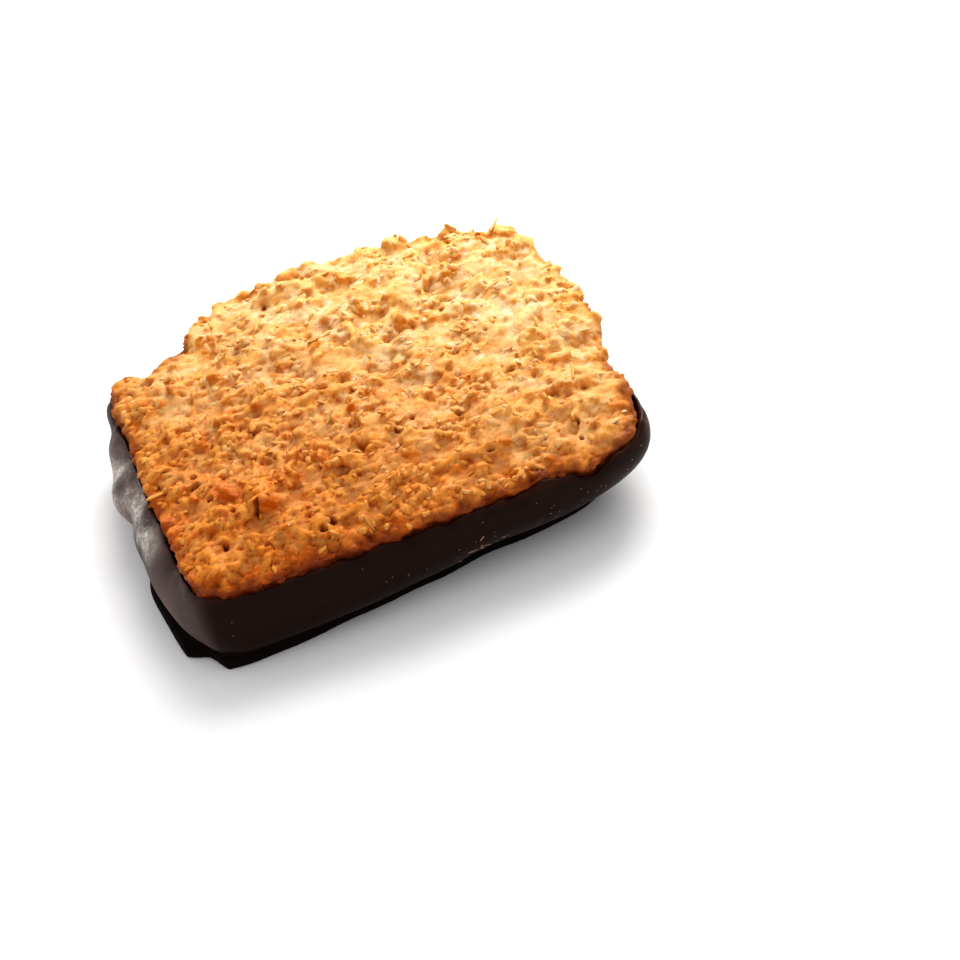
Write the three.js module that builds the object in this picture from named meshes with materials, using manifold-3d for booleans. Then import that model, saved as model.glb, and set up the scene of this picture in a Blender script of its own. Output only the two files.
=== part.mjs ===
// A coconut biscuit: an oblong slab of rough baked coconut crumb, dipped in dark chocolate
// that coats its base and its sides and spreads out underneath as a thin foot.
// Millimetres, +Z up, +X along the longer side, with the origin on the ground under the middle.

import * as THREE from 'three';
import { mergeVertices } from 'three/addons/utils/BufferGeometryUtils.js';
import { ImprovedNoise } from 'three/addons/math/ImprovedNoise.js';
import Module from 'manifold-3d';

const wasm = await Module();
wasm.setup();

// Driving dimensions of the plan: how far the crumb's edge reaches from the middle on each
// side, how square each corner is (2 is an ellipse), and where a corner has crumbled away.
// The fall of a dent is how suddenly it ends to both sides.
const REACH = { right: 28.0, back: 23.6, left: 25.0, front: 22.9 };
const SQUARENESS = { backRight: 5, backLeft: 8, frontLeft: 12, frontRight: 7 };
const DENTS = [
  { at: 132.4, depth: 5.4, spread: 10.8, fall: 3 },
  { at: 27, depth: 1.4, spread: 12, fall: 2 },
  { at: 345, depth: 1.5, spread: 11, fall: 2 },
];

// Driving dimensions of the height.
const FLOOR = 1.7; // thickness of chocolate under the crumb
const FOOT_HEIGHT = 1.1;
const FOOT_WIDEST = 0.45; // how far up its height the foot is widest
const FOOT_INSET = 0.3; // of its top and bottom
const GROOVE_INSET = 0.9;
const GROOVE_HEIGHT = 1.4; // the fold between the foot and the wall
const LOWER_HEIGHT = 2.1; // where the wall turns in to the base
const BELLY_HEIGHT = 4.7; // where the wall stands out most
const SHOULDER_HEIGHT = 7.4;
const LIP_HEIGHT = 9.3;
const CROWN_HEIGHT = 12.6; // the mean surface at the middle of the crumb
const CROWN_SQUARENESS = 5; // how flat the crown is before it drops to its edge
const GAP = 0.35; // between the crumb and the chocolate
const LIP_WIDTH = 0.65;
const LIP_DROP = { outside: 0.4, inside: 0.3 }; // from the top of its round
const WALL = 1.3; // thickness of the coat where it turns in
const STATIONS = 112; // points round each outline

// How far each level of the coat stands out from the crumb's edge, in mm, at bearings in
// degrees from the right side, anticlockwise from above. The left wall swells in a lumpy
// bulge, and the base rounds away under the front right corner.
const FOOT_OUT = [
  [0, -3.4], [40, -3.6], [90, -1.6], [140, 0.2], [170, 1.4], [186, 2.4], [195, 3.5], [214, 3.1],
  [219.5, 0.5], [225, 1.3], [232, 0.5], [250, -0.8], [270, -1.7], [295, -3.4], [322, -5.6],
  [342, -4.6],
];
const LOWER_OUT = [
  [0, -2.0], [40, -2.2], [90, -0.4], [140, 0.8], [180, 2.4], [208, 2.2], [221, 0.9],
  [232, 1.4], [250, 0.7], [270, -0.2], [295, -2.2], [322, -4.6], [342, -3.4],
];
const BELLY_OUT = [
  [0, 0.2], [40, 0.2], [90, 0.8], [140, 1.5], [151, 2.0], [162, 2.5], [172, 3.2], [200, 3.7],
  [221, 1.4], [250, 1.5], [285, 1.0], [305, 0.4], [322, -0.5], [340, -0.4],
];
const SHOULDER_OUT = [
  [0, 0.5], [90, 0.8], [138, 0.5], [148, 0.6], [158, 1.9], [172, 2.6], [205, 2.2], [221, 1.2],
  [300, 1.2], [322, 1.0],
];
const LIP_WAVE = [
  [0, -0.6], [60, -0.4], [120, -0.3], [160, 0], [190, -0.2], [221, 0.1], [250, 0],
  [285, 0.1], [304, 0.6], [309, -0.9], [316, 0.2], [325, 0.8], [342, -0.3],
];

// How far the crumb hangs out over the coat's lip, and how high its edge stands.
const OVERHANG = [
  [0, 0.9], [40, 0.8], [90, 0.9], [125, 0.7], [150, 0.3], [178, 0], [200, 0], [318, 0.1],
  [335, 0.7],
];
const RIM_HEIGHT = [
  [0, 10.5], [45, 10.9], [62, 11.6], [78, 12.0], [95, 11.7], [112, 11.0], [126, 9.9],
  [140, 9.6], [180, 10.1], [221, 9.9],
  [270, 10.1], [322, 9.9],
];

// Relief of the crumb: rolling swells, then clods, on a grid of cells. A layer is the slice of
// the noise that a relief reads, and the clods' floor is how deep the creases between them lie.
const CELL = 1.2;
const SWELL = { size: 7.5, height: 0.4, layer: 1.5 };
const CLOD = { size: 3.8, height: 0.85, layer: 7.3, floor: 0.4 };
const CRUMB = { size: 1.7, height: 0.42, layer: 3.6 };
const NOISE_GAIN = 2; // brings the noise to about -1 to 1
const BLOCK_MARGIN = 2; // of the relief block beyond the crumb
const HEADROOM = 4; // of the crumb's outline over its crown

// The lumps of the left wall, and how many degrees to each side of its middle they fade.
const LUMP = { size: 5.2, height: 0.6, layer: 4.2, whole: 25, gone: 60 };
const LEFT = 180;

// Clods and flakes that stand out of the crumb, largest first.
const SCATTER = [
  { count: 30, length: [2.8, 3.9], width: [1.6, 2.3], thick: [1.2, 1.7], sunk: 0.2, margin: 2.6 },
  { count: 78, length: [2.1, 3.2], width: [0.8, 1.2], thick: [0.6, 0.9], sunk: 0.05, margin: 1.8 },
];
const LEAN = { x: 0.9, y: 0.7 }; // greatest spread of their lean, in radians
const SEED = 20;

const COLOURS = { crumb: 0xd9964f, chocolate: 0x2a1c18 };

const noise = new ImprovedNoise();
const radians = THREE.MathUtils.degToRad;

// A value at any bearing, eased between the bearings of a list.
function around(list, bearing) {
  const turn = ((bearing % 360) + 360) % 360;
  const after = list.findIndex(([at]) => at > turn);
  const next = after < 0 ? [list[0][0] + 360, list[0][1]] : list[after];
  const last = list[(after < 0 ? list.length : after) - 1];
  const eased = THREE.MathUtils.smoothstep(turn, last[0], next[0]);
  return THREE.MathUtils.lerp(last[1], next[1], eased);
}

// The crumb's edge: the distance from the middle at a bearing.
function edge(bearing) {
  const x = Math.cos(radians(bearing));
  const y = Math.sin(radians(bearing));
  const side = x > 0 ? 'right' : 'left';
  const end = y > 0 ? 'back' : 'front';
  const power = SQUARENESS[end + side[0].toUpperCase() + side.slice(1)];
  const sum = Math.abs(x / REACH[side]) ** power + Math.abs(y / REACH[end]) ** power;
  const dents = DENTS.map(({ at, depth, spread, fall }) => {
    const away = Math.abs(((bearing - at + 540) % 360) - 180);
    return depth * Math.exp(-((away / spread) ** fall));
  });
  return sum ** (-1 / power) - dents.reduce((total, dent) => total + dent, 0);
}

// Bearings at even steps along the edge, so that the corners are as finely cut as the sides.
function bearings() {
  const fine = 1440;
  const point = (step) => {
    const bearing = (360 * step) / fine;
    const reach = edge(bearing);
    return new THREE.Vector2(reach * Math.cos(radians(bearing)), reach * Math.sin(radians(bearing)));
  };
  const lengths = [0];
  for (let step = 1; step <= fine; step += 1) {
    lengths.push(lengths[step - 1] + point(step).distanceTo(point(step - 1)));
  }
  const found = [];
  let step = 0;
  for (let station = 0; station < STATIONS; station += 1) {
    const target = (lengths[fine] * station) / STATIONS;
    while (lengths[step + 1] <= target) step += 1;
    const part = (target - lengths[step]) / (lengths[step + 1] - lengths[step]);
    found.push((360 * (step + part)) / fine);
  }
  return found;
}

const BEARINGS = bearings();

// One outline: out(bearing) beyond the crumb's edge at the height up(bearing).
function outline(out, up) {
  return BEARINGS.map((bearing) => {
    const reach = edge(bearing) + out(bearing);
    const x = reach * Math.cos(radians(bearing));
    const y = reach * Math.sin(radians(bearing));
    return new THREE.Vector3(x, y, up(bearing));
  });
}

// A closed skin over outlines that follow each other, with a fan to the middle at both ends.
function loft(outlines) {
  const middle = (ring) => {
    const height = ring.reduce((total, point) => total + point.z, 0) / ring.length;
    return new THREE.Vector3(0, 0, height);
  };
  const points = [...outlines.flat(), middle(outlines[0]), middle(outlines.at(-1))];
  const first = points.length - 2;
  const last = points.length - 1;
  const faces = [];
  outlines.forEach((ring, level) => {
    for (let station = 0; station < STATIONS; station += 1) {
      const here = level * STATIONS + station;
      const beside = level * STATIONS + ((station + 1) % STATIONS);
      if (level === 0) faces.push(first, beside, here);
      if (level === outlines.length - 1) faces.push(last, here, beside);
      else faces.push(here, beside, beside + STATIONS, here, beside + STATIONS, here + STATIONS);
    }
  });
  const geometry = new THREE.BufferGeometry().setFromPoints(points);
  geometry.setIndex(faces);
  return geometry;
}

// Swells, clods and crumbs of the baked surface. The clods are folded noise, round on top
// and parted by creases.
function relief(x, y) {
  const wave = ({ size, layer }) => noise.noise(x / size, y / size, layer) * NOISE_GAIN;
  const clod = Math.abs(wave(CLOD)) - CLOD.floor;
  return wave(SWELL) * SWELL.height + clod * CLOD.height + wave(CRUMB) * CRUMB.height;
}

// Height of the crumb's surface over a place in the plan.
function surface(x, y) {
  const bearing = THREE.MathUtils.radToDeg(Math.atan2(y, x));
  const share = Math.min(Math.hypot(x, y) / edge(bearing), 1.1);
  const rim = around(RIM_HEIGHT, bearing);
  return rim + (CROWN_HEIGHT - rim) * (1 - share ** CROWN_SQUARENESS) + relief(x, y);
}

function solid(geometry) {
  const bare = geometry.clone();
  bare.deleteAttribute('normal');
  bare.deleteAttribute('uv');
  const merged = mergeVertices(bare);
  const mesh = new wasm.Mesh({
    numProp: 3,
    vertProperties: merged.attributes.position.array,
    triVerts: new Uint32Array(merged.index.array),
  });
  return new wasm.Manifold(mesh);
}

function geometryOf(manifold) {
  const mesh = manifold.getMesh();
  const geometry = new THREE.BufferGeometry();
  geometry.setAttribute('position', new THREE.BufferAttribute(mesh.vertProperties, mesh.numProp));
  geometry.setIndex(new THREE.BufferAttribute(mesh.triVerts, 1));
  return geometry;
}

// A block whose upper face carries the relief, larger than the crumb all round.
function reliefBlock() {
  const width = 2 * (Math.max(REACH.left, REACH.right) + BLOCK_MARGIN);
  const depth = 2 * (Math.max(REACH.front, REACH.back) + BLOCK_MARGIN);
  const columns = Math.round(width / CELL);
  const rows = Math.round(depth / CELL);
  const block = new THREE.BoxGeometry(width, depth, 1, columns, rows, 1);
  const places = block.attributes.position;
  for (let index = 0; index < places.count; index += 1) {
    const x = places.getX(index);
    const y = places.getY(index);
    places.setZ(index, places.getZ(index) > 0 ? surface(x, y) : 0);
  }
  return block;
}

function randomDraw(seed) {
  let state = seed;
  return () => {
    state = (state + 0x6d2b79f5) | 0;
    let mixed = Math.imul(state ^ (state >>> 15), 1 | state);
    mixed = (mixed + Math.imul(mixed ^ (mixed >>> 7), 61 | mixed)) ^ mixed;
    return ((mixed ^ (mixed >>> 14)) >>> 0) / 2 ** 32;
  };
}

// Clods and flakes lying on the crumb at every angle, spread evenly over it by an additive
// sequence and kept inside its edge.
function scattered() {
  const random = randomDraw(SEED);
  const between = ([low, high]) => low + (high - low) * random();
  const stepX = 0.7548776662;
  const stepY = 0.569840291;
  const pieces = [];
  SCATTER.forEach(({ count, length, width, thick, sunk, margin }, kind) => {
    let drawn = 0;
    for (let index = 1; drawn < count; index += 1) {
      const x = (((index * stepX + kind / 3) % 1) * 2 - 1) * REACH.right;
      const y = (((index * stepY + kind / 5) % 1) * 2 - 1) * REACH.back;
      const bearing = THREE.MathUtils.radToDeg(Math.atan2(y, x));
      if (Math.hypot(x, y) > edge(bearing) - margin) continue;
      const piece = new THREE.IcosahedronGeometry(0.5, 0);
      piece.scale(between(length), between(width), between(thick));
      piece.rotateX((random() - 0.5) * LEAN.x);
      piece.rotateY((random() - 0.5) * LEAN.y);
      piece.rotateZ(random() * Math.PI);
      piece.translate(x, y, surface(x, y) - sunk);
      pieces.push(solid(piece));
      drawn += 1;
    }
  });
  return pieces;
}

// The lumps of the left wall fade out towards the other sides.
function lump(bearing, height) {
  const fade = 1 - THREE.MathUtils.smoothstep(Math.abs(bearing - LEFT), LUMP.whole, LUMP.gone);
  const along = edge(bearing) * Math.sin(radians(bearing));
  const wave = noise.noise(along / LUMP.size, height / LUMP.size, LUMP.layer) * NOISE_GAIN;
  return fade * LUMP.height * wave;
}

function lipHeight(bearing) {
  return LIP_HEIGHT + around(LIP_WAVE, bearing);
}

// The wall's inner face, which keeps the wall's thickness where the outside turns in.
function innerOut(list, bearing) {
  return Math.min(GAP, around(list, bearing) - WALL);
}

function chocolateCoat() {
  const level = (height) => () => height;
  const wall = (list, height) => outline(
    (bearing) => around(list, bearing) + lump(bearing, height),
    level(height),
  );
  const foot = (inset, height) => outline(
    (bearing) => around(FOOT_OUT, bearing) - inset,
    level(height),
  );
  const groove = (bearing) => {
    const nearer = Math.min(around(FOOT_OUT, bearing), around(LOWER_OUT, bearing));
    return nearer - GROOVE_INSET;
  };
  const lip = (out, drop) => outline(() => out, (bearing) => lipHeight(bearing) - drop);
  const inner = (list, height) => outline((bearing) => innerOut(list, bearing), level(height));
  return loft([
    foot(FOOT_INSET, 0),
    foot(0, FOOT_HEIGHT * FOOT_WIDEST),
    foot(FOOT_INSET, FOOT_HEIGHT),
    outline(groove, level(GROOVE_HEIGHT)),
    wall(LOWER_OUT, LOWER_HEIGHT),
    wall(BELLY_OUT, BELLY_HEIGHT),
    wall(SHOULDER_OUT, SHOULDER_HEIGHT),
    lip(GAP + LIP_WIDTH, LIP_DROP.outside),
    lip(GAP + LIP_WIDTH / 2, 0),
    lip(GAP, LIP_DROP.inside),
    inner(BELLY_OUT, BELLY_HEIGHT),
    inner(LOWER_OUT, FLOOR),
  ]);
}

// The crumb fills the coat, hangs over its lip where the dough has spread, and ends above in
// the relief.
function coconutCrumb() {
  const level = (height) => () => height;
  const hang = (bearing) => around(OVERHANG, bearing);
  const core = solid(loft([
    outline((bearing) => innerOut(LOWER_OUT, bearing) - GAP, level(FLOOR + GAP)),
    outline((bearing) => innerOut(BELLY_OUT, bearing) - GAP, level(BELLY_HEIGHT)),
    outline(level(0), (bearing) => lipHeight(bearing) + GAP / 2),
    outline(hang, (bearing) => lipHeight(bearing) + GAP * 1.5),
    outline(hang, level(CROWN_HEIGHT + HEADROOM)),
  ]));
  const slab = solid(reliefBlock()).intersect(core);
  return geometryOf(wasm.Manifold.union([slab, ...scattered()]));
}

function named(name, geometry, material) {
  const mesh = new THREE.Mesh(geometry, material);
  mesh.name = name;
  return mesh;
}

const crumbMaterial = new THREE.MeshStandardMaterial({
  color: COLOURS.crumb,
  roughness: 0.75,
  metalness: 0,
});
const chocolateMaterial = new THREE.MeshStandardMaterial({
  color: COLOURS.chocolate,
  roughness: 0.42,
  metalness: 0,
});

const biscuit = new THREE.Group();
biscuit.add(named('coconut_biscuit', coconutCrumb(), crumbMaterial));
biscuit.add(named('chocolate_coat', chocolateCoat(), chocolateMaterial));

export default biscuit;
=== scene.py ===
"""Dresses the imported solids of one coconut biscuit: a rough baked crumb in a dark chocolate coat."""

import math

import bmesh
import bpy
import numpy as np
from bpy.props import FloatProperty, FloatVectorProperty, IntProperty, PointerProperty
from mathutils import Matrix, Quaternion, Vector, noise
from mathutils.bvhtree import BVHTree


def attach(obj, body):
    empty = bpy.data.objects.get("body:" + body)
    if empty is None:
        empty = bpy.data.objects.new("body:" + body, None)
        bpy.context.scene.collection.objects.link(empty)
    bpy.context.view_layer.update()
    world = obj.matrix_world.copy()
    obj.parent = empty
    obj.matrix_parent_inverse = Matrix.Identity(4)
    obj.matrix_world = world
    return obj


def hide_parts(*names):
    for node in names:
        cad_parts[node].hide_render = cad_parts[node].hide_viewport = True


bl_info = {
    "name": "Coconut biscuit",
    "version": (1, 0, 0),
    "blender": (4, 5, 0),
    "location": "View3D > Sidebar > Biscuit",
    "description": "Crumb, coat, shreds and stage of a chocolate-dipped coconut biscuit",
    "category": "Object",
}

MM = 0.001
# Heights in mm: the crumb's underside, and where its open rim and its pitted top begin.
CRUMB_FLOOR = 2.1
OPEN_ABOVE = 8.2
PITTED_ABOVE = 9.0
# How much each axis counts in the crumb's pattern, which is drawn out along the biscuit.
DRAWN_OUT = (0.72, 1.0, 0.9)
# Places in mm of the clearest pits, and of the two tips of the thin foot.
OPEN_PITS = ((-20.2, -6.4), (-19.3, -9.9), (-17.6, -13.2), (-15.2, -14.8), (-19.7, -17.0),
             (-9.6, -20.3), (-8.4, -19.2), (-15.6, -19.8), (-4.7, -10.2))
FOOT_TIPS = ((-27.2, -19.0), (-23.9, -22.8))
# Lumps and pockets of the left wall: place along it, height, reach and how far each stands out.
WALL_LUMPS = ((6.5, 5.4, 3.0, 0.55), (6.8, 9.0, 1.9, -0.75), (0.2, 4.6, 1.7, -0.65),
              (-4.4, 7.4, 2.6, 0.40), (-9.0, 7.4, 2.4, 0.30), (-1.2, 9.2, 1.4, -0.55),
              (-6.6, 9.3, 1.2, -0.45), (-14.5, 4.6, 3.2, 0.25))
# Seeds across the table that the domes of the crumb are drawn from, before it repeats.
DOME_TABLE = 97

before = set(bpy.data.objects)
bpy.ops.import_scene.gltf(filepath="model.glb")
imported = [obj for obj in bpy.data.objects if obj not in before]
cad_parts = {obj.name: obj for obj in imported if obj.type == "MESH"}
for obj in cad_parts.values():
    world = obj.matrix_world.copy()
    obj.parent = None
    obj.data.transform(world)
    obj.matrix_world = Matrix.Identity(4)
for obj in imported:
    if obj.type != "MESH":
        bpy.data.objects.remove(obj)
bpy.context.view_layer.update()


def length(name, description, millimetres):
    return FloatProperty(name=name, description=description, default=millimetres * MM,
                         subtype="DISTANCE", unit="LENGTH", precision=5)


def share(name, description, value):
    return FloatProperty(name=name, description=description, default=value,
                         min=0.0, max=4.0, subtype="FACTOR")


def whole_number(name, description, value):
    return IntProperty(name=name, description=description, default=value)


def angle(name, description, degrees):
    return FloatProperty(name=name, description=description, default=math.radians(degrees),
                         subtype="ANGLE", unit="ROTATION")


def colour(name, description, rgb):
    return FloatVectorProperty(name=name, description=description, default=rgb,
                               size=3, min=0.0, max=1.0, subtype="COLOR")


class CrumbSettings(bpy.types.PropertyGroup):
    """Sizes and colours of the baked crumb"""

    grain: length("Grain", "Finest step of the fused surface", 0.25)
    hidden_below: length("Hidden below", "Height under which the coat hides the crumb", 7.4)
    clods: whole_number("Clods", "Clods fused on", 190)
    flakes: whole_number("Flakes", "Coconut flakes fused on", 900)
    grains: whole_number("Grains", "Fine grains fused on", 2200)
    ridge_height: length("Ridges", "Height of the ridges over the hollows", 0.30)
    lump_size: length("Lump size", "Size of the lumps that the dough breaks into", 2.0)
    lump_height: length("Lump height", "Height of the lumps over their creases", 0.50)
    granule_size: length("Granule size", "Size of the granules on the lumps", 1.0)
    granule_height: length("Granule height", "Height of the granules", 0.30)
    stand_out: length("Stand out", "How far the rim may stand out of the solid", 0.30)
    pits: whole_number("Pits", "Small baked pits", 34)
    pit_radius: length("Pit radius", "Radius of the largest pit", 0.40)
    pit_depth: length("Pit depth", "Depth of the largest pit", 1.3)
    paste: colour("Paste", "Baked paste between the flakes", (0.82, 0.51, 0.22))
    cream: colour("Cream", "Palest paste", (0.88, 0.68, 0.40))
    flake: colour("Flake", "Golden coconut flake", (0.86, 0.50, 0.16))
    pale: colour("Pale flake", "Palest coconut flake", (0.87, 0.71, 0.50))
    # This colour serves for real toasted spots and the stain by the coat, and as painted shade in
    # creases, hollows, joints and steep sides.
    toast_and_shade: colour("Toast", "Toasted spots and creases", (0.65, 0.25, 0.020))
    # The darkest colour is painted shade in creases, hollows and pits, and the real stain beside the
    # coat.
    stain_and_shade: colour("Scorch", "Darkest creases and pits", (0.20, 0.036, 0.003))
    # The paste and flake shade tints are painted shade: they darken and redden the side away from the
    # key light.
    paste_shade_tint: colour("Browning", "Tint of the most baked paste", (0.66, 0.45, 0.27))
    flake_shade_tint: colour("Gilding", "Tint of the most baked flakes", (0.82, 0.54, 0.20))


class CoatSettings(bpy.types.PropertyGroup):
    """Sizes and colours of the chocolate"""

    lip_tuck: length("Lip tuck", "How far the lip leans in onto the crumb", 0.55)
    lip_wave: length("Lip wave", "Height of the lip's unevenness", 0.28)
    swell: length("Swell", "Slow unevenness of the walls", 0.16)
    lump: length("Lump", "Lumps of the left wall", 0.30)
    foot_pull: share("Foot pull", "How sharply the foot is drawn out at its two tips", 0.75)
    dark: colour("Chocolate", "Dark chocolate", (0.022, 0.0088, 0.0058))
    warm: colour("Thin chocolate", "Chocolate where it is thin at the lip", (0.05, 0.014, 0.008))
    # The grey film on the left wall is partly real bloom and partly painted sheen, the wall's grazing
    # reflection.
    film_and_sheen: colour("Veil", "Chocolate under a thin grey film", (0.20, 0.142, 0.134))
    bloom: colour("Bloom", "Pale dusty bloom", (0.70, 0.65, 0.60))
    # The foot's near-black colour is painted shade: the foot lies in shade under the wall.
    shade: colour("Foot", "Chocolate of the thin foot", (0.010, 0.0042, 0.0030))
    roughness: share("Roughness", "Satin of the chocolate", 0.40)


class ShredSettings(bpy.types.PropertyGroup):
    """Loose coconut shreds, sugar grains and crumbs"""

    flakes: whole_number("Flakes", "Flakes pressed into the top", 320)
    granules: whole_number("Granules", "Baked granules on top", 500)
    shreds: whole_number("Shreds", "Crisp shreds on top", 34)
    sugar: whole_number("Sugar", "Glinting sugar grains", 26)
    specks: whole_number("Specks", "Crumbs stuck to the coat", 46)
    threads: whole_number("Threads", "Fine shreds stuck to the coat", 9)
    sugar_dull: colour("Dull sugar", "Duller part of a sugar grain", (0.95, 0.86, 0.66))
    sugar_bright: colour("Bright sugar", "Brighter part of a sugar grain", (1.0, 0.96, 0.88))
    speck_dark: colour("Dark speck", "Darker part of a speck", (0.30, 0.17, 0.09))
    speck_pale: colour("Pale speck", "Paler part of a speck", (0.55, 0.42, 0.30))


class StageSettings(bpy.types.PropertyGroup):
    """Floor, light and camera"""

    floor_size: length("Floor", "Width of the floor", 3000)
    floor_colour: colour("Floor colour", "Pale floor", (0.93, 0.93, 0.93))
    sky: share("Sky", "Strength of the even light", 0.62)
    key_power: FloatProperty(name="Key", description="Power of the key light in watts", default=0.63)
    key_bearing: angle("Key bearing", "Where the key stands", 56)
    key_height: angle("Key height", "How high the key stands", 42)
    key_distance: length("Key distance", "Distance of the key from the biscuit", 280)
    key_width: length("Key width", "Width of the key, which softens its shadows", 200)
    key_tint: colour("Key tint", "Colour of the key light", (1.0, 0.98, 0.96))
    azimuth: angle("Azimuth", "Camera azimuth", -10.55)
    elevation: angle("Elevation", "Camera elevation", 40.16)
    roll: angle("Roll", "Camera roll", -13.12)
    distance: length("Distance", "Camera distance from its aim", 360.7)
    aim: FloatVectorProperty(name="Aim", description="Point the camera looks at", size=3,
                             default=(10.84 * MM, -4.10 * MM, -3.09 * MM),
                             subtype="TRANSLATION", unit="LENGTH")
    lens: FloatProperty(name="Lens", description="Focal length in mm on a 36 mm sensor",
                        default=120.0)


SETTINGS = {
    "biscuit_crumb": CrumbSettings,
    "biscuit_coat": CoatSettings,
    "biscuit_shreds": ShredSettings,
    "biscuit_stage": StageSettings,
}


# ---------------------------------------------------------------- mesh helpers


def merged_copy(node):
    """A bmesh copy of a solid with its loose triangles joined."""
    bm = bmesh.new()
    bm.from_mesh(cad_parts[node].data)
    bmesh.ops.remove_doubles(bm, verts=bm.verts, dist=0.002 * MM)
    return bm


def shape_arrays(bm):
    """Corners and triangles of a bmesh as arrays."""
    bmesh.ops.triangulate(bm, faces=bm.faces)
    bm.verts.index_update()
    corners = np.array([vert.co[:] for vert in bm.verts])
    faces = np.array([[vert.index for vert in face.verts] for face in bm.faces])
    return corners, faces


def new_piece(name, mesh, material, slot, *replaced):
    """Links a finished mesh as a piece that rides with the part."""
    mesh.name = name
    mesh.materials.clear()
    mesh.materials.append(material)
    mesh.shade_smooth()
    piece = bpy.data.objects.new(name, mesh)
    bpy.context.scene.collection.objects.link(piece)
    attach(piece, "root")
    if replaced:
        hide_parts(*replaced)
    return piece


def mesh_from_arrays(name, corners, faces):
    mesh = bpy.data.meshes.new(name)
    mesh.from_pydata(corners.tolist(), [], faces.tolist())
    return mesh


def evaluated_mesh(mesh, kind, **values):
    """The mesh after one modifier."""
    carrier = bpy.data.objects.new("carrier", mesh)
    bpy.context.scene.collection.objects.link(carrier)
    modifier = carrier.modifiers.new("shape", kind)
    for key, value in values.items():
        setattr(modifier, key, value)
    depsgraph = bpy.context.evaluated_depsgraph_get()
    made = bpy.data.meshes.new_from_object(carrier.evaluated_get(depsgraph))
    bpy.data.objects.remove(carrier)
    bpy.data.meshes.remove(mesh)
    return made


def read_points(mesh):
    flat = np.empty(len(mesh.vertices) * 3, np.float32)
    mesh.vertices.foreach_get("co", flat)
    return flat.reshape(-1, 3).astype(float)


def read_normals(mesh):
    flat = np.empty(len(mesh.vertices) * 3, np.float32)
    mesh.vertex_normals.foreach_get("vector", flat)
    return flat.reshape(-1, 3).astype(float)


def read_edges(mesh):
    flat = np.empty(len(mesh.edges) * 2, np.int32)
    mesh.edges.foreach_get("vertices", flat)
    return flat.reshape(-1, 2)


def write_points(mesh, points):
    mesh.vertices.foreach_set("co", points.astype(np.float32).ravel())
    mesh.update()


def write_value(mesh, name, values):
    attribute = mesh.attributes.new(name, "FLOAT", "POINT")
    attribute.data.foreach_set("value", np.clip(values, 0, 1).astype(np.float32))


def smoothed(points, edges, rounds):
    """Points after so many rounds of moving each to the middle of its neighbours."""
    count = np.bincount(edges.ravel(), minlength=len(points))[:, None]
    for _ in range(rounds):
        total = np.zeros_like(points)
        for axis in range(3):
            total[:, axis] += np.bincount(edges[:, 0], points[edges[:, 1], axis], len(points))
            total[:, axis] += np.bincount(edges[:, 1], points[edges[:, 0], axis], len(points))
        points = total / np.maximum(count, 1)
    return points


def noise_at(points, size, layer, detail=0):
    """Noise from about -1 to 1 at each point, with features of the given size."""
    shift = Vector((layer * 13.7, layer * 5.3, layer * 9.1))
    step = 1.0 / size
    if detail:
        values = [noise.fractal(Vector(p) * step + shift, 1.0, 2.0, detail) for p in points]
    else:
        values = [noise.noise(Vector(p) * step + shift) for p in points]
    return np.array(values) * 1.6


def domes_at(points, size, layer):
    """Irregular domes of the given size, side by side over the top: how high each point is on its
    dome, from 0 at its border to 1, and a draw from 0 to 1 for each point's dome."""
    flat = points[:, :2] + points[:, 2:] * (0.3, 0.6)
    bend = np.stack([noise_at(points, size * 0.8, layer + side) for side in (1, 2)], axis=1)
    flat = flat / size + bend * 0.2
    table = np.random.default_rng(layer).random((DOME_TABLE, DOME_TABLE, 3))
    home = np.floor(flat).astype(int)
    gaps, draws = [], []
    for step in ((x, y) for x in (-1, 0, 1) for y in (-1, 0, 1)):
        cell = home + step
        seeds = table[cell[:, 0] % DOME_TABLE, cell[:, 1] % DOME_TABLE]
        gaps.append(np.linalg.norm(cell + 0.05 + 0.9 * seeds[:, :2] - flat, axis=1))
        draws.append(seeds[:, 2])
    own = np.argmin(gaps, axis=0)
    nearest, second = np.partition(gaps, 1, axis=0)[:2]
    return np.clip((second - nearest) / 0.7, 0, 1) ** 0.6, np.choose(own, draws)


def eased(values, low, high):
    """Smooth step from 0 at low to 1 at high."""
    part = np.clip((values - low) / (high - low), 0, 1)
    return part * part * (3 - 2 * part)


# ---------------------------------------------------------------- scattered pieces


class Kind:
    """One kind of scattered thing: how many, how large, how flat it lies."""

    def __init__(self, count, long, wide, thick, tilt, lift, curl=0.0, wobble=0.25, aligned=0.0):
        self.count, self.long, self.wide, self.thick = count, long, wide, thick
        self.tilt, self.lift, self.curl, self.wobble = tilt, lift, curl, wobble
        self.aligned = aligned


def blob_shapes(rounds, wobble, how_many=8, square=1.0):
    """Uneven blobs of unit size, as arrays. A square under 1 flattens their sides."""
    shapes = []
    for number in range(how_many):
        bm = bmesh.new()
        bmesh.ops.create_icosphere(bm, subdivisions=rounds, radius=0.5)
        for vert in bm.verts:
            where = vert.co * 3.1 + Vector((number * 7.7, 1.3, 4.9))
            flat = [math.copysign(abs(2 * part) ** square / 2, part) for part in vert.co]
            vert.co = Vector(flat) * (1 + wobble * noise.noise(where) * 1.6)
        shapes.append(shape_arrays(bm))
        bm.free()
    return shapes


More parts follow.
